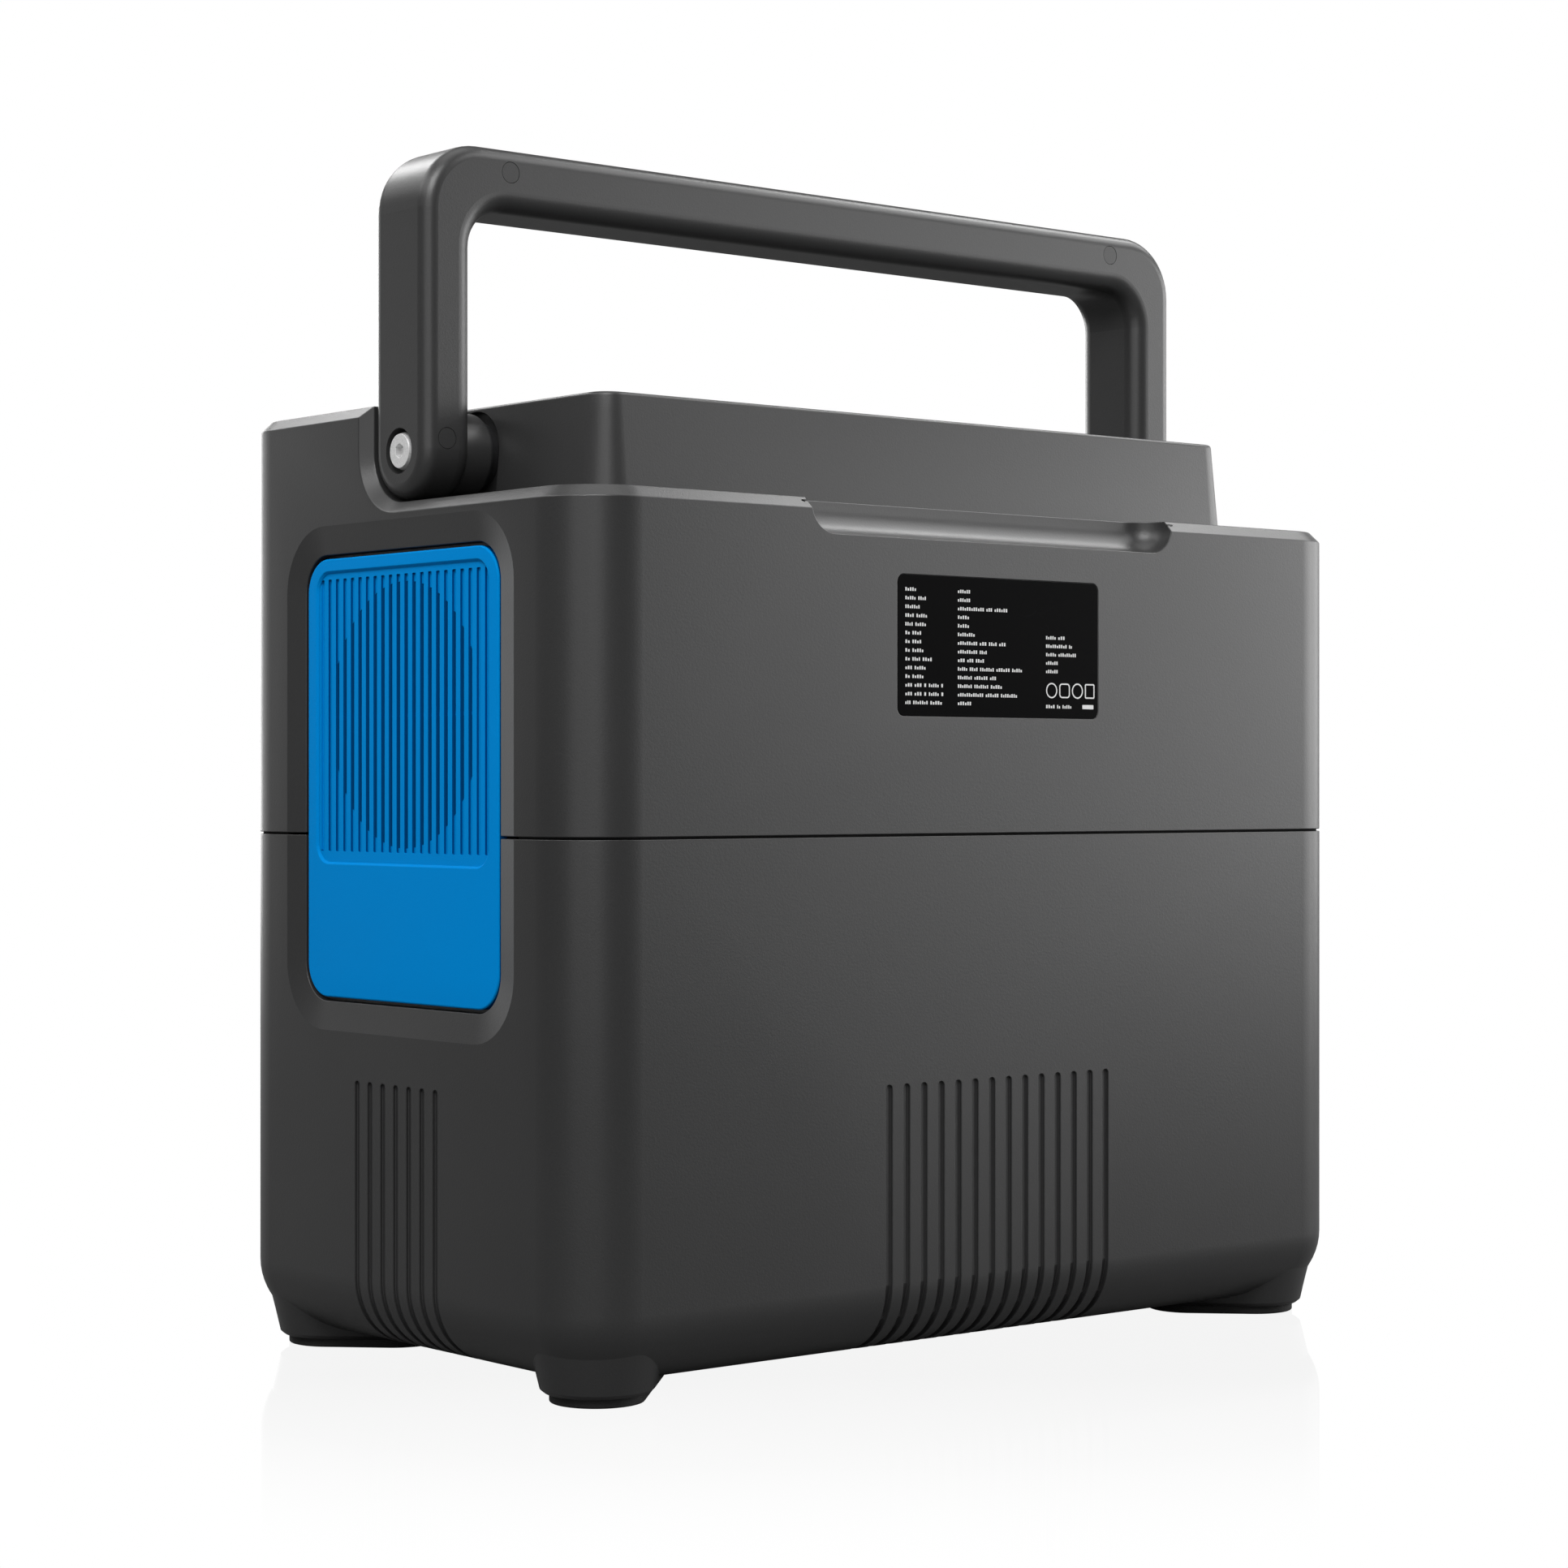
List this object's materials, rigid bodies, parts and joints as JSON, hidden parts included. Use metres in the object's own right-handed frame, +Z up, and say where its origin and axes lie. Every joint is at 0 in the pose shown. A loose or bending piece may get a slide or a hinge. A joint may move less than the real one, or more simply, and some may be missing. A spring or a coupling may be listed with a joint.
{
  "type": "power station",
  "caption": "Portable power station: two-shell grey case with a folding loop handle, finger scoop, blue side fan grilles, rubber feet, a socket panel and a battery inside.",
  "frame": {"origin": "on the floor under the middle of the case", "axes": "+X to the side whose grille faces right when the socket panel faces the viewer, +Y out of the back with the rating plate, +Z up"},
  "size_m": [0.32, 0.186, 0.3686],
  "materials": {
    "black_nylon": "black nylon bushes and washers",
    "board_green": "green circuit board",
    "bright_steel": "bright nickel-plated screws",
    "button_grey": "dark grey push buttons",
    "capacitor_can": "sleeved capacitor cans",
    "case_grey": "dark grey moulded shell with a fine grain",
    "cell_wrap": null,
    "copper": "copper links",
    "display_dark": "dark display module",
    "fan_black": "black moulded fan",
    "ferrite": "ferrite core and winding",
    "foot_rubber": "near-black rubber feet",
    "front_black": "satin black socket panel",
    "gasket_black": "black foam seam strip",
    "gloss_black": "gloss black rating plate",
    "handle_grey": "dark grey moulded handle with a fine grain",
    "holder_plastic": "black cell holders",
    "jack_metal": "plated metal port shells",
    "lens_glass": "tinted clear window",
    "nickel": "nickel strip",
    "panel_blue": "satin blue grille panel",
    "plain_steel": "zinc-plated steel",
    "plug_grey": "dark grey blanking plugs",
    "socket_black": "black socket mouldings",
    "tray_aluminium": "plain aluminium"
  },
  "bodies": {
    "case": {"ac_inlet": "socket_black", "ac_socket_left": "socket_black", "ac_socket_right": "socket_black", "battery_cells_front": "cell_wrap", "battery_cells_rear": "cell_wrap", "battery_links": "copper", "bms_board": "board_green", "bulk_capacitors": "capacitor_can", "busbar_front": "nickel", "busbar_rear": "nickel", "car_socket": "socket_black", "case_screws": "plain_steel", "cell_holder_front": "holder_plastic", "cell_holder_middle": "holder_plastic", "cell_holder_rear": "holder_plastic", "chassis_tray": "tray_aluminium", "control_board": "board_green", "dc_input_jack": "socket_black", "dc_jacks": "jack_metal", "display_lens": "lens_glass", "display_module": "display_dark", "fan_frame_left": "fan_black", "fan_frame_right": "fan_black", "fan_screws": "plain_steel", "foot_pad_front_left": "foot_rubber", "foot_pad_front_right": "foot_rubber", "foot_pad_rear_left": "foot_rubber", "foot_pad_rear_right": "foot_rubber", "front_panel": "front_black", "heat_sink_front": "tray_aluminium", "heat_sink_rear": "tray_aluminium", "inverter_board": "board_green", "lower_shell": "case_grey", "output_choke": "ferrite", "pivot_bracket_left": "plain_steel", "pivot_bracket_right": "plain_steel", "pivot_bush_left": "black_nylon", "pivot_bush_right": "black_nylon", "pivot_nuts": "bright_steel", "pivot_screw_left": "bright_steel", "pivot_screw_right": "bright_steel", "pivot_washer_left": "black_nylon", "pivot_washer_right": "black_nylon", "rating_plate": "gloss_black", "seam_gasket": "gasket_black", "side_panel_left": "panel_blue", "side_panel_right": "panel_blue", "transformer": "ferrite", "upper_shell": "case_grey", "usb_a_ports": "jack_metal", "usb_c_ports": "jack_metal"},
    "carry_handle": {"handle": "handle_grey", "handle_plugs": "plug_grey"},
    "left_fan_rotor": {"fan_rotor_left": "fan_black"},
    "right_fan_rotor": {"fan_rotor_right": "fan_black"},
    "power_push": {"power_button": "button_grey"},
    "ac_push": {"ac_button": "button_grey"},
    "usb_push": {"usb_button": "button_grey"},
    "dc_push": {"dc_button": "button_grey"}
  },
  "joints": [
    {"name": "handle_fold", "type": "hinge", "parent": "case", "child": "carry_handle", "pos_m": [0, -0.0009, 0.2766], "axis": [-1, 0, 0], "range_deg": [0, 90]},
    {"name": "left_fan_spin", "type": "hinge", "parent": "case", "child": "left_fan_rotor", "pos_m": [-0.1427, 0, 0.1977], "axis": [1, 0, 0], "continuous": true},
    {"name": "right_fan_spin", "type": "hinge", "parent": "case", "child": "right_fan_rotor", "pos_m": [0.1427, 0, 0.1977], "axis": [1, 0, 0], "continuous": true},
    {"name": "power_press", "type": "slide", "parent": "case", "child": "power_push", "axis": [0, 1, 0], "range_m": [0, 0.001], "stiffness_N_per_m": 400, "springref_m": -0.0015},
    {"name": "ac_press", "type": "slide", "parent": "case", "child": "ac_push", "axis": [0, 1, 0], "range_m": [0, 0.001], "stiffness_N_per_m": 400, "springref_m": -0.0015},
    {"name": "usb_press", "type": "slide", "parent": "case", "child": "usb_push", "axis": [0, 1, 0], "range_m": [0, 0.001], "stiffness_N_per_m": 400, "springref_m": -0.0015},
    {"name": "dc_press", "type": "slide", "parent": "case", "child": "dc_push", "axis": [0, 1, 0], "range_m": [0, 0.001], "stiffness_N_per_m": 400, "springref_m": -0.0015}
  ]
}
